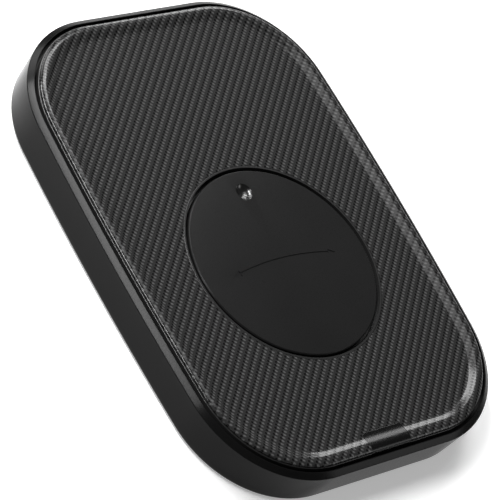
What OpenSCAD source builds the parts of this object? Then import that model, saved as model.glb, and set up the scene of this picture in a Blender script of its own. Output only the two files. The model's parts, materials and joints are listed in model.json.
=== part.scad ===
// Mouse jiggler: a slim desk pad. A mouse rests on the pad, over a disc that slowly turns.
// Millimetres. X runs across, Y from the indicator (front) to the power inlet (back), Z is up.
// The origin is the middle of the footprint, at the surface that the feet stand on.

/* [Body] */
// Width across the middle of the long sides
body_w = 85; // [82:0.5:92]
// Length from front to back
body_l = 117.2; // [114:0.2:126]
// Radius of the four corners, seen from above
corner_r = 25.1; // [22:0.1:27]
// How far each long side bows out at its middle
side_bow = 2.34; // [1:0.02:3]
// How far each short side bows out at its middle
end_bow = 0.12; // [0.06:0.02:0.4]
// Height of the side wall, from the underside to the chamfer
wall_h = 9.5; // [9.2:0.1:11]
// How far the wall leans in at its foot
wall_draft = 0.6; // [0.2:0.05:0.9]
// Rounding of the bottom edge
foot_round = 0.7; // [0.4:0.05:0.9]
// Width of the chamfer round the top
chamfer_w = 1.27; // [0.9:0.01:1.4]
// Height of the chamfer round the top
chamfer_h = 0.9; // [0.6:0.05:1.2]
// Width of the flat rim inside the chamfer
rim_w = 0.18; // [0.1:0.02:0.3]
// Width of the dark groove between rim and panel
groove_w = 0.7; // [0.5:0.05:0.9]
// Thickness of the side wall below the panel
wall_t = 2.9; // [2.8:0.1:3.4]
// Thickness of the floor
floor_t = 1.4; // [1.2:0.1:1.8]

/* [Panel] */
// Height of the flat field above the rim
field_rise = 0.25; // [0.1:0.05:0.6]
// Height of the rolled edge above the flat field
roll_h = 0.7; // [0.3:0.05:1]
// From the panel's edge to the crest of the roll
roll_crest = 1.6; // [1.2:0.1:2]
// From the panel's edge to the foot of the roll
roll_foot = 4.35; // [3.6:0.05:5]
// Width of the bare lip outside the woven skin
lip_w = 0.3; // [0.2:0.05:0.5]
// Thickness of the woven skin
skin_t = 0.35; // [0.25:0.05:0.45]
// Thickness of the panel under the skin
panel_t = 1.25; // [1.1:0.05:1.6]
// Width of the bare ring round the turntable
recess_lip = 0.55; // [0.4:0.05:1]

/* [Turntable] */
// Radius of the disc
disc_r = 23.4; // [21:0.1:25]
// How far the disc's centre lies in front of the body's centre
disc_offset = 9.07; // [7:0.01:11]
// Gap between disc and panel, seen from above
disc_gap = 0.7; // [0.5:0.05:1]
// Thickness of the disc's plate
disc_t = 1.6; // [1.4:0.1:1.8]
// Bevel of the disc's edge
disc_bevel = 0.25; // [0.15:0.05:0.4]
// Reach of the flange under the panel
flange_reach = 2.2; // [1.6:0.1:2.6]
// Thickness of that flange
flange_t = 0.5; // [0.4:0.05:0.6]
// Gap between flange and panel
flange_gap = 0.3; // [0.2:0.05:0.4]
// Width of the ring that joins disc and flange
skirt_w = 1.4; // [1:0.1:2]
// Radius of the dimple's mouth
dimple_r = 2.1; // [1.6:0.1:2.6]
// Depth of the dimple
dimple_h = 0.95; // [0.5:0.05:1]
// Distance of the dimple from the disc's centre
dimple_at = 18.15; // [15:0.05:18.5]
// Length of the engraved turning mark
mark_l = 30; // [20:1:34]
// Bow of the turning mark
mark_bow = 1.6; // [1:0.1:3]
// Line width of the turning mark
mark_w = 0.45; // [0.3:0.05:0.7]
// Length of the turning mark's arrow heads
mark_head = 2; // [1.4:0.1:2.6]
// Depth of the turning mark
mark_h = 0.15; // [0.1:0.05:0.3]
// Radius of the spindle
spindle_r = 1.5; // [1.3:0.1:1.8]
// Radius of the gear's hub under the disc
hub_r = 8; // [7.5:0.1:9]
// Thickness of the washer under the hub
thrust_t = 0.45; // [0.3:0.05:0.6]
// Outer radius of the washer under the hub
thrust_r = 3.6; // [3.2:0.1:4.4]
// Distance of the disc's screws from its centre
disc_screw_at = 5.6; // [5.2:0.1:5.9]

/* [Gears] */
// Tooth module
gear_m = 0.5; // [0.48:0.01:0.51]
// Teeth of the turntable's gear
ring_n = 72; // [68:2:76]
// Teeth of the idler's small gear
small_n = 14; // [13:1:15]
// Teeth of the idler's large gear
large_n = 40; // [36:2:42]
// Teeth of the motor's pinion
pinion_n = 12; // [12:1:13]
// Pressure angle of the teeth
gear_angle = 25; // [24:0.5:26]
// Play between meshing flanks
backlash = 0.12; // [0.08:0.01:0.16]
// Face width of the turntable's gear
ring_face = 2.3; // [1.6:0.1:2.4]
// Thickness of the turntable gear's web
ring_web = 0.8; // [0.6:0.1:1.2]
// Thickness of the turntable gear's rim, inside the teeth
ring_rim = 1.6; // [1.2:0.1:2.4]
// Face width of the idler's large gear and of the pinion
large_face = 1; // [0.8:0.05:1.1]
// Radius of the idler's axle
idler_pin_r = 1; // [0.8:0.05:1.1]
// Thickness of the washer under the idler
idler_washer_t = 0.25; // [0.2:0.05:0.4]
// Thickness of the clip on the idler's axle
clip_t = 0.25; // [0.2:0.05:0.3]

/* [Motor] */
// Radius of the motor's can
motor_r = 7.5; // [7:0.1:7.6]
// Height of the motor's can
motor_h = 4.2; // [3.6:0.1:4.3]
// Wall of the motor's can
can_t = 0.4; // [0.3:0.05:0.5]
// Thickness of the motor's face plate
plate_t = 0.5; // [0.4:0.05:0.6]
// Distance of the motor's screws from its axis
ear_at = 10.4; // [10:0.1:11]
// Radius of the face plate's ears
ear_r = 2.3; // [2.1:0.1:2.5]
// Radius of the motor's shaft
shaft_r = 0.75; // [0.6:0.05:0.8]
// Outer radius of the motor's bearing
bush_r = 1.6; // [1.4:0.1:1.8]
// Radius of the motor's magnet
magnet_r = 3.6; // [3:0.1:3.8]
// Gap between magnet and winding
magnet_gap = 0.5; // [0.4:0.05:0.6]

/* [Boards] */
// Width of the main board
board_w = 48; // [46:0.5:48.4]
// Depth of the main board
board_l = 18.6; // [17.5:0.1:19]
// Thickness of both boards
board_t = 1; // [0.8:0.1:1.2]
// Cut-off corners of the main board
board_cut = 3; // [2.5:0.1:4]
// Height of the main board above the floor
board_up = 2; // [1.8:0.1:2.2]
// Distance of the board's screws from its edges
board_screw_in = 3.2; // [2.8:0.1:3.6]
// Thickness of the flat leads
ribbon_t = 0.2; // [0.15:0.05:0.3]
// Width of the flat leads
ribbon_w = 3; // [2:0.5:3]
// Width of the indicator board
led_board_w = 17; // [16:0.5:20]
// Depth of the indicator board
led_board_l = 8; // [7.5:0.1:9]
// Height of the indicator board above the floor
led_board_up = 2.2; // [2:0.1:2.5]
// Height of the lamp
led_h = 1; // [0.8:0.1:1.2]
// Height of the upright capacitors
cap_h = 4; // [3.4:0.1:4.2]

/* [Inlet and switch] */
// Width of the power inlet's shell
usb_w = 8.94; // [8.94:0.01:9.2]
// Height of the power inlet's shell
usb_h = 3.16; // [3.16:0.01:3.26]
// Length of the power inlet's shell
usb_l = 7.35; // [7:0.05:7.6]
// Sheet thickness of the power inlet's shell
usb_t = 0.3; // [0.25:0.05:0.35]
// How far the inlet's mouth lies inside the wall's face
usb_inset = 0.5; // [0.3:0.05:0.8]
// Distance of the switch from the middle of the back wall
switch_at = 11.5; // [11:0.1:12]
// Width of the switch's body
switch_w = 8.4; // [8:0.1:8.6]
// Depth of the switch's body
switch_d = 3.4; // [3:0.1:3.6]
// Height of the switch's body
switch_h = 3.2; // [3:0.1:3.4]
// Travel of the switch's knob
switch_travel = 2; // [1.6:0.1:2.4]
// Width of the switch's knob
knob_w = 3; // [2.6:0.1:3.2]
// Height of the switch's knob
knob_h = 1.8; // [1.6:0.1:2]
// Depth of the recess round the knob
knob_recess = 1.1; // [0.9:0.05:1.3]

/* [Indicator] */
// Width of the window
window_w = 11.6; // [10:0.1:13]
// How far the window reaches onto the flat field
window_in = 0.6; // [0.3:0.05:1]
// Thickness left under the window's head
window_floor = 0.55; // [0.5:0.05:0.7]
// Width of the light guide under the window
guide_w = 6; // [5:0.1:7]
// Depth of the light guide under the window
guide_l = 2.4; // [2:0.1:3]

/* [Screws] */
// Radius of the case screws
case_screw_r = 1; // [0.8:0.05:1.1]
// Radius of the case screws' heads
case_head_r = 1.9; // [1.7:0.05:2]
// Height of the case screws' heads
case_head_h = 1.2; // [1:0.05:1.3]
// Distance of the case screws from the long sides
case_screw_x = 13.5; // [13:0.1:14]
// Distance of the case screws from the short sides
case_screw_y = 14.6; // [14:0.1:15]
// Radius of the small inner screws
small_screw_r = 0.7; // [0.6:0.05:0.75]
// Radius of the small screws' heads
small_head_r = 1.3; // [1.2:0.05:1.4]
// Height of the small screws' heads
small_head_h = 0.7; // [0.5:0.05:0.8]

/* [Feet] */
// Radius of the rubber feet
foot_r = 5; // [4:0.1:6]
// Thickness of the rubber feet
foot_t = 1; // [0.8:0.05:1.1]
// How far the feet stand out of the underside
foot_stand = 0.4; // [0.3:0.05:0.5]

/* [Clearances] */
// Play of the gears and the disc on their axles
run_gap = 0.05; // [0.03:0.01:0.08]
// Room round a pin or screw that sits tight
seat_gap = 0.01; // [0.01:0.01:0.02]
// Room round parts that drop into a pocket
fit_gap = 0.05; // [0.04:0.01:0.1]
// Room round parts that pass through a wall
wall_gap = 0.2; // [0.15:0.05:0.3]
// Room between stacked parts that move past each other
stack_gap = 0.3; // [0.25:0.05:0.35]

/* [Hidden] */
$fn = 96;
eps = 0.01;

// ---- walls, margins and gaps that belong to one place each
board_back = 1.2;
board_gap = 0.4;
rear_screw_in = 1;
led_board_front = 1;
guide_in = 2.7;
head_edge = 0.5;
head_gap = 0.3;
boss_wall = 1.1;
boss_edge = 0.2;
panel_boss_h = 4.2;
panel_boss_wall = 1.4;
hub_floor = 1.4;
hole_gap = 0.1;
tip_gap = 0.2;
pin_floor = 0.6;
pin_over = 0.15;
screw_floor = 0.8;
spindle_in = 0.15;
disc_screw_in = 0.3;
case_screw_cap = 0.5;
ear_screw_l = 3;
board_screw_l = 2.2;
small_drop = 0.1;
web_bridge = 0.9;
idler_washer_w = 1.2;
clip_w = 1;
coil_gap = 0.1;
bush_in = 0.25;
bush_out = 0.1;
foot_bevel = 0.25;

// ---- heights, from the floor up and from the panel down
z_base = foot_stand;
z_floor = z_base + floor_t;
z_wall = z_base + wall_h;
z_rim = z_wall + chamfer_h;
z_field = z_rim + field_rise;
z_cover = z_field - skin_t;
z_panel = z_cover - panel_t;
z_flange = z_panel - flange_gap;
z_disc = z_flange - flange_t;
z_large_top = z_disc - clip_t - 1.5 * stack_gap;
z_large = z_large_top - large_face;
z_ring_top = z_large - stack_gap;
z_ring = z_ring_top - ring_face;
z_small = z_ring - small_drop;
z_plate_top = z_large - stack_gap;
z_plate = z_plate_top - plate_t;
z_can = z_plate - motor_h;
z_board = z_floor + board_up;
z_board_top = z_board + board_t;
z_led_board = z_floor + led_board_up;
z_led_top = z_led_board + board_t + led_h;
z_window = z_panel + window_floor;
z_foot_top = foot_t;

// ---- insets of the rings, from the body's outline
panel_in = chamfer_w + rim_w + groove_w;
rim_in = chamfer_w + rim_w;
field_in = panel_in + roll_foot;

// ---- places in the plan
disc_y = -disc_offset;
recess_r = disc_r + disc_gap;
skin_hole_r = recess_r + recess_lip;
idler_y = disc_y + (ring_n + small_n) / 2 * gear_m;
motor_y = idler_y + (large_n + pinion_n) / 2 * gear_m;
back_y = body_l / 2 - wall_t;
board_y1 = back_y - board_back;
board_y0 = board_y1 - board_l;
window_y0 = -body_l / 2 + panel_in;
window_y1 = -body_l / 2 + field_in + window_in;
led_board_y0 = -body_l / 2 + wall_t + led_board_front;
guide_y = window_y0 + guide_in;
case_xy = [body_w / 2 - case_screw_x, body_l / 2 - case_screw_y];
case_places = [for (x = [-1, 1]) for (y = [-1, 1]) [x * case_xy[0], y * case_xy[1]]];
board_screw_ys = [board_y0 + board_screw_in, board_y1 - board_screw_in - rear_screw_in];
board_places = [for (x = [-1, 1]) for (y = board_screw_ys) [x * (board_w / 2 - board_screw_in), y]];
led_screw_x = led_board_w / 2 - small_head_r - head_edge;
led_screw_y = led_board_y0 + led_board_l - small_head_r - head_edge;
led_places = [for (x = [-1, 1]) [x * led_screw_x, led_screw_y]];
ear_places = [for (x = [-1, 1]) [x * ear_at, motor_y]];
disc_screw_places = [for (a = [0, 120, 240]) disc_screw_at * [cos(a), sin(a)]];
usb_y = body_l / 2 - usb_inset - usb_l;
usb_z = z_board_top + usb_h / 2;
switch_z = z_board_top + switch_h / 2;
switch_y = board_y1 - switch_d;
case_joint_z = z_panel - panel_boss_h;
boss_r = case_head_r + wall_gap + boss_wall;
z_head = z_foot_top + case_head_h + head_gap;

// ---- flat leads and their sockets: motor and indicator on the main board, one on the small board
socket_h = 1.2;
socket_l = 2.6;
socket_wall = 0.6;
socket_in = 0.8;
lead_up = 0.4;
lead_in = 1.5;
lead_free = 1.5;
lead_gap = 1;
lead_edge = 9;
led_socket_in = 0.4;
led_socket_edge = 1.2;
socket_y = board_y0 + socket_in;
motor_socket_y = max(socket_y, motor_y + motor_r + lead_free);
lead_x = board_w / 2 - lead_edge;
led_lead_y = led_board_y0 + led_socket_in + socket_wall + ribbon_w / 2;
led_socket_x = led_board_w / 2 - led_socket_edge;

// ---- outline of the body: arcs that meet without a corner, d inside the outer edge
side_r = (body_l * body_l / 4 + side_bow * side_bow) / (2 * side_bow);
end_r = (body_w * body_w / 4 + end_bow * end_bow) / (2 * end_bow);
side_c = [body_w / 2 - side_r, 0];
end_c = [0, body_l / 2 - end_r];
corner_c = meet(side_c, side_r - corner_r, end_c, end_r - corner_r);
side_a = atan2(corner_c[1] - side_c[1], corner_c[0] - side_c[0]);
end_a = atan2(corner_c[1] - end_c[1], corner_c[0] - end_c[0]);
side_steps = 5;
corner_steps = 14;
end_steps = 2;

// The point at distance ra from a and rb from b, on the corner's side
function meet(a, ra, b, rb) =
    let (v = b - a, d = norm(v), t = (ra * ra - rb * rb + d * d) / (2 * d), h = sqrt(ra * ra - t * t))
    a + v * t / d + [-v[1], v[0]] * h / d;

function on_arc(c, r, a) = c + r * [cos(a), sin(a)];

function quarter(d) = concat(
    [for (i = [0:side_steps - 1]) on_arc(side_c, side_r - d, side_a * i / side_steps)],
    [for (i = [0:corner_steps])
     on_arc(corner_c, corner_r - d, side_a + (end_a - side_a) * i / corner_steps)],
    [for (i = [1:end_steps]) on_arc(end_c, end_r - d, end_a + (90 - end_a) * i / end_steps)]);

function outline(d) =
    let (q = quarter(d), n = len(q))
    concat(q,
           [for (i = [n - 2:-1:0]) [-q[i][0], q[i][1]]],
           [for (i = [1:n - 1]) [-q[i][0], -q[i][1]]],
           [for (i = [n - 2:-1:1]) [q[i][0], -q[i][1]]]);

// A closed solid through rings of [inset, height], with flat ends
module loft(rings) {
    n = len(outline(0));
    points = [for (r = rings) for (p = outline(r[0])) [p[0], p[1], r[1]]];
    last = (len(rings) - 1) * n;
    sides = [for (j = [0:len(rings) - 2]) for (i = [0:n - 1])
             [j * n + i, (j + 1) * n + i, (j + 1) * n + (i + 1) % n, j * n + (i + 1) % n]];
    polyhedron(points, concat([[for (i = [0:n - 1]) i]], sides, [[for (i = [n - 1:-1:0]) last + i]]));
}

module slab(d, z0, z1) {
    translate([0, 0, z0]) linear_extrude(z1 - z0) polygon(outline(d));
}

// ---- the rolled edge: height above the field, e inside the panel's edge
lip_h = 0.05;
lip_bevel = 0.12;
roll_start = 0.15;
roll_round = 0.5;
roll_shoulder = 0.935;
roll_steps = 4;
roll_crowd = 1.6;
function roll_up(e) =
    let (k = (roll_crest - e) / (roll_crest - roll_start))
    lip_h + (roll_h - lip_h) * sqrt(max(0, 1 - k * k));
roll_out = [for (i = [0:roll_steps])
            let (e = lip_w + (roll_crest - lip_w) * pow(i / roll_steps, roll_crowd))
            [panel_in + e, roll_up(e)]];
roll_in = [[panel_in + roll_crest + roll_round, roll_h * roll_shoulder], [field_in, 0]];
roll = concat(roll_out, roll_in);
function raised(list, z) = [for (p = list) [p[0], p[1] + z]];
function reversed(list) = [for (i = [len(list) - 1:-1:0]) list[i]];
lip_edge = [[panel_in, z_rim + lip_h], [panel_in + lip_bevel, z_rim + lip_h + lip_bevel]];

// ---- small shared forms
module rod(r, z0, z1) {
    translate([0, 0, z0]) cylinder(r = r, h = z1 - z0);
}

module ring(r_out, r_in, z0, z1) {
    difference() {
        rod(r_out, z0, z1);
        rod(r_in, z0 - 1, z1 + 1);
    }
}

module at_all(places) {
    for (p = places) translate([p[0], p[1], 0]) children();
}

module box(x0, y0, z0, x1, y1, z1) {
    translate([x0, y0, z0]) cube([x1 - x0, y1 - y0, z1 - z0]);
}

// A flat bar with round ends, standing upright in the XZ plane
module upright_bar(w, h, y0, y1) {
    translate([0, y1, 0]) rotate([90, 0, 0]) linear_extrude(y1 - y0) {
        square([w - h, h], center = true);
        for (s = [-1, 1]) translate([s * (w - h) / 2, 0]) circle(r = h / 2);
    }
}

// A cross-head screw: the head bears at height 0 and the tip points up
module screw(r, head_r, head_h, tip) {
    cross_l = 0.6 * head_r;
    cross_w = 0.12 * head_r;
    difference() {
        union() {
            rod(head_r, -head_h, 0);
            rod(r, -eps, tip);
        }
        for (a = [0, 90]) rotate(a) box(-cross_l, -cross_w, -head_h - 1, cross_l, cross_w, -head_h / 2);
    }
}

// The same screw from above, bearing at height z with its tip at z_tip
module screw_down(r, head_r, head_h, z, z_tip) {
    translate([0, 0, z]) mirror([0, 0, 1]) screw(r, head_r, head_h, z - z_tip);
}

// ---- involute teeth
flank_steps = 3;
function involute_at(rb, r) = let (t = sqrt(max(0, r * r / (rb * rb) - 1))) t * 180 / PI - atan(t);

// Outline of a gear of n teeth with a tooth at angle a
function gear_outline(n, a) =
    let (r = n * gear_m / 2,
         rb = r * cos(gear_angle),
         ra = r + gear_m,
         rf = r - 1.25 * gear_m,
         rs = max(rb, rf + 0.1),
         half = 90 / n - backlash / 4 / r * 180 / PI + involute_at(rb, r),
         root = half - involute_at(rb, rs) + 9 / n,
         flank = [for (i = [0:flank_steps])
                  let (q = rs + (ra - rs) * i / flank_steps) [q, half - involute_at(rb, q)]])
    [for (k = [0:n - 1]) let (m = a + k * 360 / n) each concat(
        [on_arc([0, 0], rf, m - root)],
        [for (f = flank) on_arc([0, 0], f[0], m - f[1])],
        [for (f = reversed(flank)) on_arc([0, 0], f[0], m + f[1])],
        [on_arc([0, 0], rf, m + root)])];

module gear(n, a, z0, z1) {
    translate([0, 0, z0]) linear_extrude(z1 - z0) polygon(gear_outline(n, a));
}

// ---- casing
module base_tray() {
    foot_mid = 0.3 * foot_round;
    edge_soft = 0.06;
    color("#1b1b1d") difference() {
        union() {
            difference() {
                loft([[wall_draft + foot_round, z_base],
                      [wall_draft + foot_mid, z_base + foot_mid],
                      [wall_draft, z_base + foot_round],
                      [0, z_wall],
                      [chamfer_w * edge_soft / 1.5, z_wall + chamfer_h * edge_soft],
                      [chamfer_w, z_rim],
                      [rim_in, z_rim]]);
                slab(wall_t, z_floor, z_panel);
                slab(rim_in, z_panel, z_rim + 1);
            }
            at_all(case_places) rod(boss_r, z_floor - eps, case_joint_z);
            translate([0, disc_y, 0])
                rod(thrust_r + 2 * boss_edge, z_floor - eps, z_ring - thrust_t - run_gap);
            translate([0, idler_y, 0])
                rod(idler_pin_r + idler_washer_w + boss_edge, z_floor - eps,
                    z_small - idler_washer_t - run_gap);
            at_all(ear_places) rod(ear_r - boss_edge, z_floor - eps, z_plate);
            at_all(board_places) rod(small_screw_r + boss_wall, z_floor - eps, z_board);
            at_all(led_places) rod(small_screw_r + boss_wall, z_floor - eps, z_led_board);
        }
        at_all(case_places) {
            rod(foot_r + fit_gap * 2, z_base - 1, z_foot_top);
            rod(case_head_r + wall_gap, z_base - 1, z_head);
            rod(case_screw_r + hole_gap, z_base - 1, z_panel);
        }
        translate([0, disc_y, 0]) rod(spindle_r + seat_gap, z_base + pin_floor, z_panel);
        translate([0, idler_y, 0]) rod(idler_pin_r + seat_gap, z_base + pin_floor, z_panel);
        translate([0, motor_y, 0]) rod(motor_r + wall_gap, z_can - hole_gap, z_panel);
        at_all(concat(ear_places, board_places, led_places))
            rod(small_screw_r + seat_gap, z_base + screw_floor, z_panel);
        translate([0, 0, usb_z])
            upright_bar(usb_w + 2 * wall_gap, usb_h + 2 * wall_gap, back_y - 1, body_l / 2 + 1);
        switch_slot();
    }
}

module switch_slot() {
    slot_w = knob_w + switch_travel + 2 * wall_gap;
    slot_h = knob_h + 2 * wall_gap;
    finger_x = 1.2;
    finger_z = 0.5;
    translate([switch_at, 0, switch_z]) {
        box(-slot_w / 2, back_y - 1, -slot_h / 2, slot_w / 2, body_l / 2 + 1, slot_h / 2);
        upright_bar(slot_w + 2 * finger_x, slot_h + 2 * finger_z, body_l / 2 - knob_recess, body_l / 2 + 1);
    }
}

// The place of the window's head, with room g round it
module window_place(g, z) {
    box(-window_w / 2 - g, -body_l, z, window_w / 2 + g, window_y1 + g, z_field + 5);
}

// The place of the light guide, with room g round it
module guide_place(g, z0, z1) {
    box(-guide_w / 2 - g, guide_y - guide_l / 2 - g, z0, guide_w / 2 + g, guide_y + guide_l / 2 + g, z1);
}

module top_panel() {
    color("#2b2b2e") difference() {
        union() {
            loft(concat([[panel_in, z_panel]], lip_edge, raised(roll, z_cover)));
            translate([0, disc_y, 0]) rod(skin_hole_r - fit_gap, z_panel, z_field);
            at_all(case_places) rod(case_screw_r + panel_boss_wall, case_joint_z, z_panel + eps);
        }
        translate([0, disc_y, 0]) rod(recess_r, z_panel - 1, z_field + 1);
        at_all(case_places)
            rod(case_screw_r + seat_gap, case_joint_z - 1, z_panel - case_screw_cap + tip_gap);
        window_place(fit_gap, z_window);
        guide_place(fit_gap, z_panel - 1, z_window + 1);
        at_all(cap_places) rod(cap_r + wall_gap, z_board_top, z_board_top + cap_h + hole_gap);
    }
}

module woven_skin() {
    color("#303033") difference() {
        loft(concat(reversed(raised(roll, z_cover)), raised(roll, z_field)));
        translate([0, disc_y, 0]) rod(skin_hole_r, z_cover - 1, z_field + 1);
        window_place(fit_gap, z_cover - 1);
    }
}

module indicator_window() {
    color("#0c0c0e") union() {
        intersection() {
            loft(concat([[panel_in, z_window], [panel_in, z_rim + lip_h]], raised(roll, z_field)));
            window_place(0, z_window - 1);
        }
        guide_place(0, z_led_top + stack_gap, z_window + eps);
    }
}

// ---- turntable
module turntable_disc() {
    low = z_field - disc_t;
    dimple_ball = (dimple_r * dimple_r + dimple_h * dimple_h) / (2 * dimple_h);
    skirt_r = disc_r - skirt_w;
    color("#2a2a2d") translate([0, disc_y, 0]) difference() {
        rotate_extrude() polygon([
            [0, z_disc], [hub_r, z_disc], [hub_r, low], [skirt_r, low], [skirt_r, z_disc],
            [disc_r + flange_reach, z_disc], [disc_r + flange_reach, z_flange], [disc_r, z_flange],
            [disc_r, z_field - disc_bevel], [disc_r - disc_bevel, z_field], [0, z_field]]);
        translate([0, dimple_at, z_field - dimple_h + dimple_ball]) sphere(r = dimple_ball);
        rod(spindle_r + run_gap, z_disc - 1, low + spindle_in + tip_gap);
        at_all(disc_screw_places) rod(small_screw_r + seat_gap, z_disc - 1, low + disc_screw_in + tip_gap);
        translate([0, 0, z_field - mark_h]) linear_extrude(1) turning_mark();
    }
}

// A shallow arc with an arrow head at each end
module turning_mark() {
    r = (mark_l * mark_l / 4 + mark_bow * mark_bow) / (2 * mark_bow);
    c = [0, mark_bow / 2 - r];
    reach = asin((mark_l / 2 - mark_head) / r);
    steps = 12;
    barb = 1.6 * mark_w;
    angles = [for (i = [-steps:steps]) 90 + reach * i / steps];
    polygon(concat([for (a = angles) on_arc(c, r + mark_w / 2, a)],
                   [for (a = reversed(angles)) on_arc(c, r - mark_w / 2, a)]));
    for (s = [-1, 1]) {
        base = on_arc(c, r, 90 + s * reach);
        out = on_arc(base, mark_head, 90 + s * (reach + 90));
        polygon([on_arc(base, barb, 90 + s * reach), out, on_arc(base, -barb, 90 + s * reach)]);
    }
}

module turntable_gear() {
    bay_r = ring_n * gear_m / 2 - 1.25 * gear_m - ring_rim;
    hole_r = (bay_r - hub_r) / 2 - web_bridge;
    color("#e8e6df") translate([0, disc_y, 0]) difference() {
        union() {
            difference() {
                gear(ring_n, 90, z_ring, z_ring_top);
                rod(bay_r, z_ring + ring_web, z_ring_top + 1);
            }
            rod(hub_r, z_ring, z_disc);
        }
        for (a = [30:60:330]) rotate(a) translate([(hub_r + bay_r) / 2, 0, 0])
            rod(hole_r, z_ring - 1, z_ring_top);
        rod(spindle_r + run_gap, z_ring - 1, z_disc + 1);
        at_all(disc_screw_places) {
            rod(small_screw_r + fit_gap, z_ring - 1, z_disc + 1);
            rod(small_head_r + hole_gap, z_ring - 1, z_disc - hub_floor);
        }
    }
}

module disc_screws() {
    z_bear = z_disc - hub_floor;
    tip = z_field - disc_t + disc_screw_in - z_bear;
    color("#b9b9bd") translate([0, disc_y, z_bear]) at_all(disc_screw_places)
        screw(small_screw_r, small_head_r, small_head_h, tip);
}

module spindle_pin() {
    color("#c4c4c8") translate([0, disc_y, 0])
        rod(spindle_r, z_base + pin_floor + hole_gap, z_field - disc_t + spindle_in);
}

module thrust_washer() {
    color("#f4f2ea") translate([0, disc_y, 0])
        ring(thrust_r, spindle_r + run_gap, z_ring - thrust_t - run_gap, z_ring - run_gap);
}

// ---- reduction gear
module idler_gear() {
    color("#e8e6df") translate([0, idler_y, 0]) difference() {
        union() {
            gear(small_n, 270 - 180 / small_n, z_small, z_large + eps);
            gear(large_n, 90, z_large, z_large_top);
        }
        rod(idler_pin_r + run_gap, z_small - 1, z_large_top + 1);
    }
}

module idler_pin() {
    color("#c4c4c8") translate([0, idler_y, 0])
        rod(idler_pin_r, z_base + pin_floor + hole_gap, z_large_top + clip_t + pin_over);
}

module idler_washer() {
    color("#f4f2ea") translate([0, idler_y, 0])
        ring(idler_pin_r + idler_washer_w, idler_pin_r + run_gap,
             z_small - idler_washer_t - run_gap, z_small - run_gap);
}

module idler_clip() {
    color("#b9b9bd") translate([0, idler_y, 0])
        ring(idler_pin_r + clip_w, idler_pin_r + seat_gap,
             z_large_top + run_gap, z_large_top + run_gap + clip_t);
}

// ---- motor
module motor_can() {
    color("#a9abb0") translate([0, motor_y, 0]) difference() {
        rod(motor_r, z_can, z_plate);
        rod(motor_r - can_t, z_can + can_t, z_plate + 1);
    }
}

module motor_coil() {
    color("#b5673a") translate([0, motor_y, 0])
        ring(motor_r - can_t - coil_gap, magnet_r + magnet_gap, z_can + can_t, z_plate - coil_gap);
}

module motor_magnet() {
    color("#4a4a50") translate([0, motor_y, 0])
        ring(magnet_r, shaft_r + seat_gap, z_can + can_t + stack_gap, z_plate - 2 * stack_gap);
}

module motor_shaft() {
    color("#d2d2d6") translate([0, motor_y, 0])
        rod(shaft_r, z_can + can_t + run_gap, z_large_top + pin_over);
}

module motor_bush() {
    color("#b08d4a") translate([0, motor_y, 0])
        ring(bush_r, shaft_r + run_gap, z_plate - bush_in, z_plate_top + bush_out);
}

module motor_plate() {
    color("#b3b5ba") translate([0, motor_y, z_plate]) linear_extrude(plate_t) difference() {
        union() {
            circle(r = motor_r);
            square([2 * ear_at, 2 * ear_r], center = true);
            for (s = [-1, 1]) translate([s * ear_at, 0]) circle(r = ear_r);
        }
        circle(r = bush_r + seat_gap);
        for (s = [-1, 1]) translate([s * ear_at, 0]) circle(r = small_screw_r + fit_gap);
    }
}

module motor_pinion() {
    color("#c9a44c") translate([0, motor_y, 0]) difference() {
        gear(pinion_n, 270 - 180 / pinion_n, z_large, z_large_top);
        rod(shaft_r + seat_gap, z_large - 1, z_large_top + 1);
    }
}

module motor_screws() {
    color("#b9b9bd") at_all(ear_places)
        screw_down(small_screw_r, small_head_r, small_head_h, z_plate_top, z_plate - ear_screw_l);
}

// ---- electronics
// The main board keeps clear of the case wall, the case bosses and the motor
module main_board() {
    w = board_w / 2;
    color("#1f5a3c") difference() {
        translate([0, 0, z_board]) linear_extrude(board_t) intersection() {
            polygon([
                [-w, board_y0], [w, board_y0], [w, board_y1 - board_cut], [w - board_cut, board_y1],
                [-w + board_cut, board_y1], [-w, board_y1 - board_cut]]);
            polygon(outline(wall_t + board_gap));
        }
        at_all(board_places) rod(small_screw_r + hole_gap, z_board - 1, z_board_top + 1);
        at_all(case_places) rod(boss_r + board_gap, z_board - 1, z_board_top + 1);
        translate([0, motor_y, 0]) rod(motor_r + board_gap, z_board - 1, z_board_top + 1);
    }
}

// ---- chips, capacitors and passives, placed from the main board's front edge
chip_in = 10.4;
chip_l = 3.9;
chip_h = 1.5;
chip_up = 0.1;
chip_pitch = 1.27;
chip_leg_w = 0.4;
chip_leg_l = 1;
chip_leg_t = 0.35;
chip_leg_out = 0.45;
chip_y = board_y0 + chip_in;
cap_r = 2;
cap_in = 4.2;
cap_x = -14;
cap_step = 5.5;
cap_places = [for (i = [0, 1]) [cap_x + i * cap_step, board_y0 + cap_in]];
passive_w = 0.8;
passive_l = 1.6;
passive_h = 0.6;

// A chip of width w with this many legs along each long side
module chip(x, y, w, legs) {
    box(x - w / 2, y - chip_l / 2, z_board_top + chip_up, x + w / 2, y + chip_l / 2, z_board_top + chip_h);
    for (i = [0:legs - 1]) for (s = [-1, 1])
        translate([x + (i - (legs - 1) / 2) * chip_pitch, y + s * (chip_l / 2 + chip_leg_out), z_board_top])
            box(-chip_leg_w / 2, -chip_leg_l / 2, 0, chip_leg_w / 2, chip_leg_l / 2, chip_leg_t);
}

module controller_chip() {
    chip_w = 8.7;
    chip_x = -9.5;
    color("#26262a") chip(chip_x, chip_y, chip_w, 7);
}

module driver_chip() {
    chip_w = 4.9;
    chip_x = 6.5;
    nearer = 1.5;
    color("#26262a") chip(chip_x, chip_y - nearer, chip_w, 4);
}

module capacitors() {
    color("#5c6168") at_all(cap_places) rod(cap_r, z_board_top, z_board_top + cap_h);
}

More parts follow.
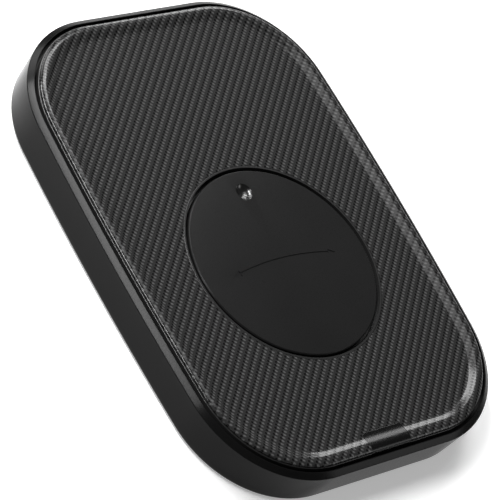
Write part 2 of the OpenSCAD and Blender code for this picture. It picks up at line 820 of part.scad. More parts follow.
// A row of n passives, a step apart, from x
module passive_row(n, x, step, y) {
    for (i = [0:n - 1]) translate([x + i * step, y, z_board_top])
        box(-passive_w / 2, -passive_l / 2, 0, passive_w / 2, passive_l / 2, passive_h);
}

module chip_passives() {
    row_x = -17;
    row_step = 2.6;
    row_up = 5;
    pair_x = 4;
    pair_step = 2.4;
    pair_down = 6;
    color("#a98f6c") {
        passive_row(5, row_x, row_step, chip_y + row_up);
        passive_row(3, pair_x, pair_step, chip_y - pair_down);
    }
}

// A socket for a flat lead, with its mouth at y, facing the front
module ribbon_socket(x, y, z) {
    w = ribbon_w / 2;
    difference() {
        box(x - w - socket_wall, y, z, x + w + socket_wall, y + socket_l, z + socket_h);
        box(x - w - fit_gap, y - 1, z + lead_up,
            x + w + fit_gap, y + lead_in + hole_gap, z + lead_up + ribbon_t + fit_gap);
    }
}

module ribbon_sockets() {
    color("#d9d4c4") {
        ribbon_socket(0, motor_socket_y, z_board_top);
        ribbon_socket(lead_x, socket_y, z_board_top);
        translate([led_socket_x, led_lead_y, 0]) rotate(90) ribbon_socket(0, 0, z_led_board + board_t);
    }
}

module usb_socket() {
    color("#c9cace") translate([0, 0, usb_z]) difference() {
        upright_bar(usb_w, usb_h, usb_y, usb_y + usb_l);
        upright_bar(usb_w - 2 * usb_t, usb_h - 2 * usb_t, usb_y - 1, usb_y + usb_l + 1);
    }
}

module usb_tongue() {
    back_l = 2;
    tongue_w = 6.7;
    tongue_t = 0.7;
    tongue_in = 0.6;
    inner = 2 * (usb_t + seat_gap);
    color("#1c1c1e") translate([0, 0, usb_z]) {
        upright_bar(usb_w - inner, usb_h - inner, usb_y, usb_y + back_l);
        box(-tongue_w / 2, usb_y + back_l - eps, -tongue_t / 2,
            tongue_w / 2, usb_y + usb_l - tongue_in, tongue_t / 2);
    }
}

knob_root = 1.5;
module switch_body() {
    slot_x = knob_w / 2 + switch_travel / 2 + hole_gap;
    slot_z = knob_h / 2 + hole_gap;
    color("#bfc1c6") translate([switch_at, 0, 0]) difference() {
        box(-switch_w / 2, switch_y, z_board_top, switch_w / 2, board_y1, z_board_top + switch_h);
        box(-slot_x, board_y1 - knob_root - hole_gap, switch_z - slot_z,
            slot_x, board_y1 + 1, switch_z + slot_z);
    }
}

module switch_knob() {
    face_in = 0.35;
    grooves = 4;
    groove_x = 0.3;
    groove_y = 0.25;
    x = switch_at - switch_travel / 2;
    y1 = body_l / 2 - face_in;
    color("#141416") difference() {
        box(x - knob_w / 2, board_y1 - knob_root, switch_z - knob_h / 2,
            x + knob_w / 2, y1, switch_z + knob_h / 2);
        for (i = [0:grooves - 1]) translate([x + (i - (grooves - 1) / 2) * knob_w / grooves, y1, 0])
            box(-groove_x / 2, -groove_y, z_base, groove_x / 2, 1, z_panel);
    }
}

module motor_ribbon() {
    z = z_board_top + lead_up;
    color("#c98f3d")
        box(-ribbon_w / 2, motor_y + motor_r + 2 * seat_gap, z,
            ribbon_w / 2, motor_socket_y + lead_in, z + ribbon_t);
}

// Runs down in front of the main board, along the floor, and up to the indicator board
module indicator_ribbon() {
    t = ribbon_t;
    w = ribbon_w;
    x_run = case_xy[0] - boss_r - lead_gap - w;
    x_rise = led_board_w / 2 + lead_gap;
    y_drop = board_y0 - lead_gap;
    y0 = led_lead_y - w / 2;
    y1 = led_lead_y + w / 2;
    z_in = z_board_top + lead_up;
    z_out = z_led_board + board_t + lead_up;
    color("#c98f3d") union() {
        box(lead_x - w / 2, y_drop, z_in, lead_x + w / 2, socket_y + lead_in, z_in + t);
        box(lead_x - w / 2, y_drop, z_floor, lead_x + w / 2, y_drop + t, z_in + t);
        box(lead_x - w / 2, y_drop - w, z_floor, x_run + w, y_drop + t, z_floor + t);
        box(x_run, y0, z_floor, x_run + w, y_drop + t, z_floor + t);
        box(x_rise, y0, z_floor, x_run + w, y1, z_floor + t);
        box(x_rise, y0, z_floor, x_rise + t, y1, z_out + t);
        box(led_socket_x - lead_in, y0, z_out, x_rise + t, y1, z_out + t);
    }
}

module indicator_board() {
    w = led_board_w / 2;
    color("#1f5a3c") difference() {
        box(-w, led_board_y0, z_led_board, w, led_board_y0 + led_board_l, z_led_board + board_t);
        at_all(led_places) rod(small_screw_r + hole_gap, z_led_board - 1, z_led_board + board_t + 1);
    }
}

module status_led() {
    led_w = 3.5;
    led_l = 2.8;
    color("#f2efe2") translate([0, guide_y, z_led_board + board_t])
        box(-led_w / 2, -led_l / 2, 0, led_w / 2, led_l / 2, led_h);
}

module board_screws() {
    color("#b9b9bd") at_all(board_places)
        screw_down(small_screw_r, small_head_r, small_head_h, z_board_top, z_board - board_screw_l);
}

module indicator_screws() {
    color("#b9b9bd") at_all(led_places)
        screw_down(small_screw_r, small_head_r, small_head_h,
                   z_led_board + board_t, z_led_board - board_screw_l);
}

module case_screws() {
    color("#8f9096") at_all(case_places) translate([0, 0, z_head])
        screw(case_screw_r, case_head_r, case_head_h, z_panel - case_screw_cap - z_head);
}

module rubber_feet() {
    color("#3a3a3d") at_all(case_places) rotate_extrude() polygon([
        [0, 0], [foot_r - foot_bevel, 0], [foot_r, foot_bevel], [foot_r, z_foot_top], [0, z_foot_top]]);
}

base_tray();
top_panel();
woven_skin();
indicator_window();
turntable_disc();
turntable_gear();
disc_screws();
spindle_pin();
thrust_washer();
idler_gear();
idler_pin();
idler_washer();
idler_clip();
motor_can();
motor_coil();
motor_magnet();
motor_shaft();
motor_bush();
motor_plate();
motor_pinion();
motor_screws();
main_board();
controller_chip();
driver_chip();
capacitors();
chip_passives();
ribbon_sockets();
usb_socket();
usb_tongue();
switch_body();
switch_knob();
motor_ribbon();
indicator_ribbon();
indicator_board();
status_led();
board_screws();
indicator_screws();
case_screws();
rubber_feet();
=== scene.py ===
"""Looks of the mouse jiggler: a slim desk pad with a woven top and a slowly turning disc.

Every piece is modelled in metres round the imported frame, in that frame's own axes:
X across, Y from the indicator at the front to the power inlet at the back, Z up.
"""

import json
import math

import bpy
from bpy.props import FloatProperty, FloatVectorProperty, PointerProperty
from mathutils import Matrix, Quaternion, Vector


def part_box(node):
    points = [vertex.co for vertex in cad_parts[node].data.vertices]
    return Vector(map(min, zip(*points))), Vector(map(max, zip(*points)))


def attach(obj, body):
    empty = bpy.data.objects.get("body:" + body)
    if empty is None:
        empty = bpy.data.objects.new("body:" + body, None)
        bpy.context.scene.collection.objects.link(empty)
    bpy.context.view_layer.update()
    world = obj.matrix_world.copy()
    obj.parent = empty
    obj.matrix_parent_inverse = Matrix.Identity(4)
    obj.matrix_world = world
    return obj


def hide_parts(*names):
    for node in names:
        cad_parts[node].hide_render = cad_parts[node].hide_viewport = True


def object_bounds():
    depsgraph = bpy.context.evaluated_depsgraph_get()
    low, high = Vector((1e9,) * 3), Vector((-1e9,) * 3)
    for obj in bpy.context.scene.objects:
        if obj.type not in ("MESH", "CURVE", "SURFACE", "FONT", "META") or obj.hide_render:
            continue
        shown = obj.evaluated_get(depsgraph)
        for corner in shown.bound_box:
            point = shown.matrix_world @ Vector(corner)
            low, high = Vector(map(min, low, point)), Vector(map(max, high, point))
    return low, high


bl_info = {
    "name": "Mouse jiggler",
    "version": (1, 0, 0),
    "blender": (4, 5, 0),
    "location": "View3D > Sidebar > Jiggler",
    "description": "Models and finishes the pieces of a turntable mouse jiggler",
    "category": "Add Mesh",
}

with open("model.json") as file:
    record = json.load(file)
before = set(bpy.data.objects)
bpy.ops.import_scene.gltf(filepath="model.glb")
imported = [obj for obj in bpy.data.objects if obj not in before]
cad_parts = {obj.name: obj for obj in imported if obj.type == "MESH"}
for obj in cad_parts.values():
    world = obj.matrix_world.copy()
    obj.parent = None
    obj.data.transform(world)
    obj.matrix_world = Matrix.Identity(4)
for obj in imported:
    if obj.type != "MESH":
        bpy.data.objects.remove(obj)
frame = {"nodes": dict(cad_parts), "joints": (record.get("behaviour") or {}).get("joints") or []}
CAD_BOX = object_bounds()
MM = 0.001

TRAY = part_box("base_tray")
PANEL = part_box("top_panel")
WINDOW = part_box("indicator_window")
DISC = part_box("turntable_disc")
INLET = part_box("usb_socket")
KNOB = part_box("switch_knob")
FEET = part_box("rubber_feet")

# Heights that several pieces share
RIM_Z = TRAY[1].z  # the top of the tray's rim
FIELD_Z = DISC[1].z  # the skin's flat field, flush with the disc
PLATE_Z = PANEL[0].z + 4.2 * MM  # the underside of the panel's plate, above its screw bosses
BAR_Z = PLATE_Z + 0.55 * MM  # the underside of the window's bar

# Sizes that several pieces share
FOOT_R = 5 * MM  # radius of a rubber foot
MIDDLE = 12 * MM  # how far in a swept profile ends: one flat face fills the rest
FIT = 0.05 * MM  # room round a piece in its pocket
EASE = 0.1 * MM  # rounding of a small moulded edge
SINK = 0.01 * MM  # how far a boss starts inside its floor
OVER = 1 * MM  # how far a cutter reaches past the face that it opens

# How finely the round forms are drawn
ARC_STEPS = 4  # one rounding of a profile
BAND_STEPS = 12  # each half of the rolled edge
SIDE_STEPS, CORNER_STEPS, END_STEPS = 10, 36, 8  # a quarter of the outline
LINE_STEPS = 48  # the line of the turning mark
SMALL_ROUND, FOOT_ROUND, LARGE_ROUND = 64, 96, 192  # whole circles
DOUBLES = 1e-7  # points nearer than this are one point


def linear(colour):
    """An sRGB hex value, such as "1b1b1d", as linear RGBA."""
    parts = [int(colour[i : i + 2], 16) / 255 for i in (0, 2, 4)]
    return (*(c / 12.92 if c <= 0.04045 else ((c + 0.055) / 1.055) ** 2.4 for c in parts), 1.0)


# ---------------------------------------------------------------- sizes and colours


def length(name, about, millimetres):
    return FloatProperty(name=name, description=about, default=millimetres * MM,
                         unit="LENGTH", subtype="DISTANCE")


def colour(name, about, value):
    return FloatVectorProperty(name=name, description=about, default=linear(value),
                               size=4, subtype="COLOR")


class ShellSizes(bpy.types.PropertyGroup):
    corner_r: length("Corner radius", "Radius of the four corners, seen from above", 25.1)
    side_bow: length("Side bow", "How far each long side bows out", 2.34)
    end_bow: length("End bow", "How far each short side bows out", 0.12)
    wall_h: length("Wall height", "Height of the side wall up to the chamfer", 9.5)
    draft: length("Draft", "How far the wall leans in at its foot", 0.6)
    foot_round: length("Foot rounding", "Rounding of the bottom edge", 0.7)
    chamfer_w: length("Chamfer width", "Width of the chamfer round the top", 1.27)
    rim_w: length("Rim width", "Width of the flat rim inside the chamfer", 0.18)
    wall_t: length("Wall", "Thickness of the side wall", 2.9)
    floor_t: length("Floor", "Thickness of the floor", 1.4)


class PanelSizes(bpy.types.PropertyGroup):
    groove_w: length("Groove", "Width of the dark groove between rim and panel", 0.7)
    lip_w: length("Lip", "Width of the bare lip outside the woven skin", 0.3)
    skin_t: length("Skin", "Thickness of the woven skin", 0.35)
    roll_h: length("Roll height", "Height of the rolled edge above the flat field", 0.7)
    roll_crest: length("Roll crest", "From the panel's edge to the crest of the roll", 1.6)
    roll_foot: length("Roll foot", "From the panel's edge to the foot of the roll", 4.35)
    recess_lip: length("Recess lip", "Width of the bare ring round the turntable", 0.55)
    rib: length("Rib pitch", "From one rib of the twill to the next", 1.738)
    bump: length("Float pitch", "From one float to the next along a rib", 0.863)
    rib_turn: FloatProperty(name="Rib angle", description="Angle of the ribs from the short side",
                            default=math.radians(44.15), unit="ROTATION", subtype="ANGLE")


class DiscSizes(bpy.types.PropertyGroup):
    radius: length("Radius", "Radius of the disc", 23.4)
    gap: length("Gap", "Gap between disc and panel", 0.7)
    bevel: length("Bevel", "Bevel of the disc's edge", 0.25)
    dimple_r: length("Dimple radius", "Radius of the dimple's mouth", 2.1)
    dimple_h: length("Dimple depth", "Depth of the dimple", 0.95)
    dimple_at: length("Dimple place", "Distance of the dimple from the disc's centre", 18.15)
    mark_l: length("Mark length", "Length of the engraved turning mark", 30)
    mark_bow: length("Mark bow", "Bow of the turning mark", 1.6)
    mark_w: length("Mark line", "Line width of the turning mark", 0.45)
    mark_head: length("Mark head", "Length of the mark's arrow heads", 2)
    mark_h: length("Mark depth", "Depth of the turning mark", 0.15)


class Finishes(bpy.types.PropertyGroup):
    shell: colour("Shell", "Moulded tray", "0d0d0d")
    panel: colour("Panel", "Moulded panel under the skin", "242424")
    weave: colour("Weave", "Threads of the woven skin", "1f1f1f")
    disc: colour("Disc", "Satin disc", "171717")
    window: colour("Window", "Gloss window", "050505")
    rubber: colour("Rubber", "Feet, and the knob of the switch", "222224")


# ---------------------------------------------------------------- modelling helpers


def clear_selection():
    if bpy.context.mode != "OBJECT":
        bpy.ops.object.mode_set(mode="OBJECT")
    bpy.ops.object.select_all(action="DESELECT")


def select_only(*pieces):
    clear_selection()
    for piece in pieces:
        piece.select_set(True)
    bpy.context.view_layer.objects.active = pieces[0]


def named(name):
    """The primitive that was just added, under its own name."""
    piece = bpy.context.object
    piece.name = piece.data.name = name
    return piece


def rounded(profile):
    """A profile of (across, up, radius) points with each radius drawn as an arc of short edges."""
    points = []
    for i, (x, z, radius) in enumerate(profile):
        here = Vector((x, z))
        if not radius:
            points.append(here)
            continue
        before = (Vector(profile[i - 1][:2]) - here).normalized()
        after = (Vector(profile[i + 1][:2]) - here).normalized()
        half = before.angle(after) / 2
        reach = radius / math.tan(half)
        centre = here + (before + after).normalized() * radius / math.sin(half)
        start, end = here + before * reach - centre, here + after * reach - centre
        turn = start.angle_signed(end)
        points += [centre + Matrix.Rotation(-turn * k / ARC_STEPS, 2) @ start
                   for k in range(ARC_STEPS + 1)]
    return points


def draw_profile(name, points, y=0.0):
    """One vertex extruded along the points, in the XZ plane at y. It stays in edit mode."""
    clear_selection()
    first = points[0]
    bpy.ops.mesh.primitive_plane_add(size=MM, location=(first[0], y, first[1]))
    piece = named(name)
    bpy.ops.object.transform_apply()
    bpy.ops.object.mode_set(mode="EDIT")
    bpy.ops.mesh.select_all(action="SELECT")
    bpy.ops.mesh.merge(type="CENTER")
    for a, b in zip(points, points[1:]):
        step = (b[0] - a[0], 0, b[1] - a[1])
        bpy.ops.mesh.extrude_region_move(TRANSFORM_OT_translate={"value": step})
    bpy.ops.mesh.select_all(action="SELECT")
    return piece


def spin(centre, angle, steps):
    """Spins the selection to the left, as seen from above. About +Z the operator turns right."""
    bpy.ops.mesh.spin(steps=steps, angle=angle, center=(*centre, 0), axis=(0, 0, -1),
                      use_auto_merge=False)


def close_up(open_ends=True):
    """Merges doubles, fills open ends, turns every face outwards and leaves edit mode."""
    bpy.ops.mesh.select_all(action="SELECT")
    bpy.ops.mesh.remove_doubles(threshold=DOUBLES)
    if open_ends:
        bpy.ops.mesh.select_all(action="DESELECT")
        bpy.ops.mesh.select_non_manifold(extend=False, use_wire=False, use_multi_face=False,
                                         use_non_contiguous=False, use_verts=False)
        bpy.ops.mesh.edge_face_add()
        bpy.ops.mesh.select_all(action="SELECT")
    bpy.ops.mesh.normals_make_consistent(inside=False)
    bpy.ops.object.mode_set(mode="OBJECT")


def lathe(name, profile, centre, steps=LARGE_ROUND):
    """A closed solid of revolution about the upright through centre. The profile is (radius, z)."""
    piece = draw_profile(name, [(p[0] + centre[0], p[1]) for p in profile], centre[1])
    spin(centre, math.tau, steps)
    close_up(open_ends=False)
    return piece


def rod(name, centre, radius, low, high, steps=SMALL_ROUND):
    """A plain upright cylinder, as a boss to join or a drill to cut with."""
    clear_selection()
    at = (centre[0], centre[1], (low + high) / 2)
    bpy.ops.mesh.primitive_cylinder_add(vertices=steps, radius=radius, depth=high - low,
                                        location=at)
    piece = named(name)
    bpy.ops.object.transform_apply()
    return piece


def block(name, low, high):
    """An upright box between two corners."""
    clear_selection()
    low, high = Vector(low), Vector(high)
    bpy.ops.mesh.primitive_cube_add(size=1, location=(low + high) / 2, scale=high - low)
    piece = named(name)
    bpy.ops.object.transform_apply()
    return piece


def lying_bar(name, centre, width, height, y0, y1):
    """A bar with round ends that lies along Y: the form of the inlet and of the finger recess."""
    clear_selection()
    bpy.ops.mesh.primitive_circle_add(vertices=SMALL_ROUND, radius=height / 2, fill_type="NGON")
    piece = named(name)
    bpy.ops.object.mode_set(mode="EDIT")
    bpy.ops.mesh.select_all(action="DESELECT")
    bpy.ops.object.mode_set(mode="OBJECT")
    for side in (-1, 1):
        for v in piece.data.vertices:
            v.select = v.co.x * side > DOUBLES
        bpy.ops.object.mode_set(mode="EDIT")
        bpy.ops.transform.translate(value=(side * (width - height) / 2, 0, 0))
        bpy.ops.mesh.select_all(action="DESELECT")
        bpy.ops.object.mode_set(mode="OBJECT")
    bpy.ops.object.mode_set(mode="EDIT")
    bpy.ops.mesh.select_all(action="SELECT")
    bpy.ops.mesh.extrude_region_move(TRANSFORM_OT_translate={"value": (0, 0, y1 - y0)})
    close_up(open_ends=False)
    piece.rotation_euler = (-math.pi / 2, 0, 0)
    piece.location = (centre[0], y0, centre[1])
    bpy.ops.object.transform_apply()
    return piece


def apply_modifier(piece, kind, **settings):
    select_only(piece)
    made = piece.modifiers.new(kind.title(), kind)
    for name, value in settings.items():
        setattr(made, name, value)
    bpy.ops.object.modifier_apply(modifier=made.name)


def join(pieces):
    select_only(*pieces)
    if len(pieces) > 1:
        bpy.ops.object.join()
    return bpy.context.object


def combine(piece, tools, operation):
    """Cuts, joins or intersects a piece with tools, which are used up.

    The tools of one call may not overlap each other.
    """
    tool = join(tools)
    apply_modifier(piece, "BOOLEAN", operation=operation, object=tool, solver="EXACT")
    bpy.data.objects.remove(tool)


def soften(piece, width):
    """Bevels every edge sharper than 40 degrees."""
    apply_modifier(piece, "BEVEL", width=width, segments=2, limit_method="ANGLE",
                   angle_limit=math.radians(40), use_clamp_overlap=True, harden_normals=False)


def finish_piece(piece, body, material, node, smooth=13):
    """Shades a piece, gives it its material, and sets it in the frame in place of a node.

    Faces that meet at less than the smooth angle, in degrees, are shaded as one surface.
    """
    select_only(piece)
    bpy.ops.object.shade_smooth_by_angle(angle=math.radians(smooth))
    piece.data.materials.clear()
    piece.data.materials.append(material)
    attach(piece, body)
    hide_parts(node)


# ---------------------------------------------------------------- the body's outline


class Outline:
    """The body's outline: a flat arc on each side and end, and a tighter one at each corner."""

    def __init__(self, sizes):
        half_w, half_l = TRAY[1].x, TRAY[1].y
        self.half_w = half_w
        side_r = (half_l**2 + sizes.side_bow**2) / (2 * sizes.side_bow)
        end_r = (half_w**2 + sizes.end_bow**2) / (2 * sizes.end_bow)
        self.side_c = Vector((half_w - side_r, 0))
        self.end_c = Vector((0, half_l - end_r))
        self.corner_c = self.meet(self.side_c, side_r - sizes.corner_r,
                                  self.end_c, end_r - sizes.corner_r)
        self.side_a = math.atan2(*(self.corner_c - self.side_c).yx)
        self.end_a = math.atan2(*(self.corner_c - self.end_c).yx)

    @staticmethod
    def meet(a, ra, b, rb):
        """The point at distance ra from a and rb from b."""
        between = b - a
        along = (ra**2 - rb**2 + between.length_squared) / (2 * between.length)
        across = math.sqrt(ra**2 - along**2)
        way = between.normalized()
        return a + way * along + Vector((-way.y, way.x)) * across

    def sweep(self, name, profile):
        """Carries a profile of (inset, z) points round the outline and closes its two ends."""
        piece = draw_profile(name, [(self.half_w - p[0], p[1]) for p in profile])
        spin(self.side_c, self.side_a, SIDE_STEPS)
        spin(self.corner_c, self.end_a - self.side_a, CORNER_STEPS)
        spin(self.end_c, math.pi / 2 - self.end_a, END_STEPS)
        bpy.ops.object.mode_set(mode="OBJECT")
        apply_modifier(piece, "MIRROR", use_axis=(True, True, False), merge_threshold=10 * DOUBLES)
        bpy.ops.object.mode_set(mode="EDIT")
        close_up()
        return piece


# ---------------------------------------------------------------- places in the frame


def places(node, radius):
    """Where a group's pieces stand: the corners of its box, in by the radius of one piece."""
    low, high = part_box(node)
    sides = []
    for i in (0, 1):
        ends = (low[i] + radius, high[i] - radius)
        sides.append(ends if ends[1] - ends[0] > radius else [sum(ends) / 2])
    return [Vector((x, y)) for x in sides[0] for y in sides[1]]


def disc_centre():
    return (DISC[0].xy + DISC[1].xy) / 2


def knob_travel():
    """Travel of the power switch's knob, from the frame's own joint."""
    return next(j["range_m"][1] for j in frame["joints"] if j["name"] == "power_switch")


def rim_inset():
    """How far in the rim's inner edge lies."""
    shell = bpy.context.scene.jiggler_shell
    return shell.chamfer_w + shell.rim_w


# ---------------------------------------------------------------- materials


def add_node(tree, kind, settings=None, sockets=None):
    """Adds a node, sets its properties, and links or sets its sockets."""
    made = tree.nodes.new(kind)
    for name, value in (settings or {}).items():
        setattr(made, name, value)
    for name, value in (sockets or {}).items():
        if isinstance(value, bpy.types.NodeSocket):
            tree.links.new(value, made.inputs[name])
        else:
            made.inputs[name].default_value = value
    return made


def new_material(name, **shader):
    """A material with one surface shader, whose sockets are named with low lines."""
    material = bpy.data.materials.new(name)
    material.use_nodes = True
    tree = material.node_tree
    surface = tree.nodes["Principled BSDF"]
    for label, value in shader.items():
        surface.inputs[label.replace("_", " ")].default_value = value
    return material, tree, surface


def in_millimetres(tree):
    """Object coordinates in millimetres."""
    place = add_node(tree, "ShaderNodeTexCoord")
    return add_node(tree, "ShaderNodeMapping", {},
                    {"Vector": place.outputs["Object"], "Scale": (1 / MM,) * 3}).outputs["Vector"]


def grained(tree, surface, base, grain_mm, height_mm, rough, spread):
    """Moulded or cast grain: a fine bump, a roughness that follows it, and a drift of colour."""
    drift_mm, drift = 20, 0.1
    place = in_millimetres(tree)
    fine = add_node(tree, "ShaderNodeTexNoise", {},
                    {"Vector": place, "Scale": 1 / grain_mm, "Detail": 3.0, "Roughness": 0.55})
    broad = add_node(tree, "ShaderNodeTexNoise", {},
                     {"Vector": place, "Scale": 1 / drift_mm, "Detail": 2.0})
    tone = add_node(tree, "ShaderNodeValToRGB", {}, {"Fac": broad.outputs["Fac"]})
    dark, light = tone.color_ramp.elements
    dark.position, light.position = 0.3, 0.7
    dark.color = tuple(c * (1 - drift) for c in base[:3]) + (1,)
    light.color = tuple(c * (1 + drift) for c in base[:3]) + (1,)
    sheen = add_node(tree, "ShaderNodeMapRange", {}, {"Value": fine.outputs["Fac"],
                                                      "To Min": rough - spread,
                                                      "To Max": rough + spread})
    bump = add_node(tree, "ShaderNodeBump", {},
                    {"Height": fine.outputs["Fac"], "Distance": height_mm * MM})
    tree.links.new(tone.outputs["Color"], surface.inputs["Base Color"])
    tree.links.new(sheen.outputs["Result"], surface.inputs["Roughness"])
    tree.links.new(bump.outputs["Normal"], surface.inputs["Normal"])


def moulded_abs(name, base, level=0.07):
    # ABS moulded against a fine eroded tool: a soft, even sheen that breaks up close by
    material, tree, surface = new_material(name, IOR=1.5, Specular_IOR_Level=level)
    grained(tree, surface, base, grain_mm=0.12, height_mm=0.001, rough=0.2, spread=0.05)
    return material


def satin_disc(name, base, dimple, radius):
    # ABS moulded against a blasted tool: satin, but glossy in the dimple, where the tool's pin was
    # polished, and painted near black there as shade in the hollow. The change lies on the
    # dimple's rim
    material, tree, surface = new_material(name, IOR=1.5, Specular_IOR_Level=0.14,
                                           Coat_Roughness=0.2, Coat_IOR=1.5)
    grained(tree, surface, base, grain_mm=0.1, height_mm=0.0015, rough=0.28, spread=0.03)
    place = add_node(tree, "ShaderNodeTexCoord")
    reach = add_node(tree, "ShaderNodeVectorMath", {"operation": "DISTANCE"},
                     {0: place.outputs["Object"], 1: dimple})
    inside = add_node(tree, "ShaderNodeMapRange", {}, {"Value": reach.outputs["Value"],
                                                       "From Min": radius * 1.02,
                                                       "From Max": radius * 0.97})
    satin = surface.inputs["Base Color"].links[0].from_socket
    # Inside the dimple the colour turns near black: painted shade in the hollow
    tone = add_node(tree, "ShaderNodeMix", {"data_type": "RGBA"},
                    {0: inside.outputs[0], 6: satin, 7: (0.002, 0.002, 0.002, 1)})
    tree.links.new(tone.outputs[2], surface.inputs["Base Color"])
    tree.links.new(inside.outputs[0], surface.inputs["Coat Weight"])
    return material


def gloss_acrylic(name, base):
    # Dark tinted acrylic, moulded against a polished tool: deep black with a soft bright reflection
    material, tree, surface = new_material(name, IOR=1.49, Specular_IOR_Level=0.25)
    grained(tree, surface, base, grain_mm=0.8, height_mm=0.0006, rough=0.27, spread=0.02)
    return material


# The spots of one repeat of the twill, in shares of it: place along and across the rib, length,
# width and softness. The crown of each float carries a painted highlight, and the pit where the
# thread dives is painted black as shade
CROWN = (0.45, 0.62, 0.46, 0.40, 0.45)
PIT = (0.08, 0.98, 0.62, 0.34, 0.15)


def twill_weave(name, base, sizes):
    """Ribs of short floats: painted highlight on each crown, flat shoulder, deep pit of painted
    shade.
    """
    # Coated twill cloth: dull grey threads, pits painted black as shade, crowns painted lighter as
    # highlights, and a thin clear coat that shines on the rolled edge
    material, tree, surface = new_material(name, IOR=1.5, Specular_IOR_Level=0.05,
                                           Coat_Roughness=0.15, Coat_IOR=1.5)
    place = add_node(tree, "ShaderNodeTexCoord")
    cell = add_node(tree, "ShaderNodeMapping", {"vector_type": "TEXTURE"},
                    {"Vector": place.outputs["Object"], "Rotation": (0, 0, sizes.rib_turn),
                     "Scale": (sizes.bump, sizes.rib, 1)})
    flat = add_node(tree, "ShaderNodeVectorMath", {"operation": "MULTIPLY"},
                    {0: cell.outputs["Vector"], 1: (1, 1, 0)}).outputs[0]

    def spot(along, across, length, width, soft):
        """A soft oval in each repeat, 1 at its middle and 0 outside."""
        moved = add_node(tree, "ShaderNodeVectorMath", {"operation": "SUBTRACT"},
                         {0: flat, 1: (along, across, 0)})
        nearest = add_node(tree, "ShaderNodeVectorMath", {"operation": "WRAP"},
                           {0: moved.outputs[0], 1: (0.5, 0.5, 0.5), 2: (-0.5, -0.5, -0.5)})
        shaped = add_node(tree, "ShaderNodeVectorMath", {"operation": "DIVIDE"},
                          {0: nearest.outputs[0], 1: (length / 2, width / 2, 1)})
        far = add_node(tree, "ShaderNodeVectorMath", {"operation": "LENGTH"},
                       {0: shaped.outputs[0]})
        return add_node(tree, "ShaderNodeMapRange", {"interpolation_type": "SMOOTHSTEP"},
                        {"Value": far.outputs["Value"], "From Min": 1 + soft,
                         "From Max": 1 - soft}).outputs["Result"]

    # The second value says how many times lighter than the weave the crowns are painted: a painted
    # highlight
    crown_part, painted_highlight, relief = 0.75, 4.6, 0.08 * MM
    coat_pit, coat_rise = 0.36, 0.18
    wander = add_node(tree, "ShaderNodeTexNoise", {}, {"Vector": flat, "Scale": 0.9, "Detail": 3.0})
    uneven = add_node(tree, "ShaderNodeMapRange", {},
                      {"Value": wander.outputs["Fac"], "To Min": 0.75, "To Max": 1.25})
    light = add_node(tree, "ShaderNodeMath", {"operation": "MULTIPLY"},
                     {0: spot(*CROWN), 1: uneven.outputs[0]})
    level = add_node(tree, "ShaderNodeMath", {"operation": "MULTIPLY_ADD"},
                     {0: light.outputs[0], 1: crown_part, 2: 1 - crown_part})
    depth = add_node(tree, "ShaderNodeMath", {"operation": "SUBTRACT"}, {0: 1.0, 1: spot(*PIT)})
    height = add_node(tree, "ShaderNodeMath", {"operation": "MULTIPLY"},
                      {0: level.outputs[0], 1: depth.outputs[0]}).outputs[0]
    # The ramp paints the pits near black as shade, and the crowns lighter as a highlight
    tone = add_node(tree, "ShaderNodeValToRGB", {}, {"Fac": height})
    ramp = tone.color_ramp
    ramp.elements[0].color = (0.001, 0.001, 0.001, 1)
    ramp.elements[1].color = tuple(c * painted_highlight for c in base[:3]) + (1,)
    ramp.elements.new(0.25).color = base
    gloss = add_node(tree, "ShaderNodeMapRange", {},
                     {"Value": height, "To Min": 0.7, "To Max": 0.45})
    bump = add_node(tree, "ShaderNodeBump", {}, {"Height": height, "Distance": relief})
    coat = add_node(tree, "ShaderNodeMath", {"operation": "MULTIPLY_ADD"},
                    {0: depth.outputs[0], 1: coat_rise, 2: coat_pit})
    tree.links.new(tone.outputs["Color"], surface.inputs["Base Color"])
    tree.links.new(coat.outputs[0], surface.inputs["Coat Weight"])
    tree.links.new(gloss.outputs["Result"], surface.inputs["Roughness"])
    tree.links.new(bump.outputs["Normal"], surface.inputs["Normal"])
    return material


def cast_rubber(name, base):
    # Moulded silicone rubber: dull, slightly dusty, with almost no highlight
    material, tree, surface = new_material(name, IOR=1.41, Specular_IOR_Level=0.3)
    grained(tree, surface, base, grain_mm=0.25, height_mm=0.006, rough=0.72, spread=0.06)
    return material


def bare_metal(name, base, rough, grain_mm=0.3, height_mm=0.002):
    # Plated, rolled or turned metal: bright, with a reflection that fine tool marks blur
    material, tree, surface = new_material(name, Metallic=1.0)
    grained(tree, surface, base, grain_mm, height_mm, rough, spread=0.06)
    return material


def plain_plastic(name, base, rough, grain_mm=0.2, height_mm=0.003):
    # Moulded or pressed parts inside the case: even colour and a waxy sheen
    material, tree, surface = new_material(name, IOR=1.48, Specular_IOR_Level=0.45)
    grained(tree, surface, base, grain_mm, height_mm, rough, spread=0.05)
    return material


# ---------------------------------------------------------------- pieces


# The seats on the tray's floor, in mm: what stands in each, its radius, what rests on the seat,
# and the seat's own radius
SEATS = (
    ("spindle_pin", 1.5, "thrust_washer", 4.0),
    ("idler_pin", 1.0, "idler_washer", 2.4),
    ("motor_screws", 1.3, "motor_plate", 2.1),
    ("board_screws", 1.3, "main_board", 1.8),
    ("indicator_screws", 1.3, "indicator_board", 1.8),
)


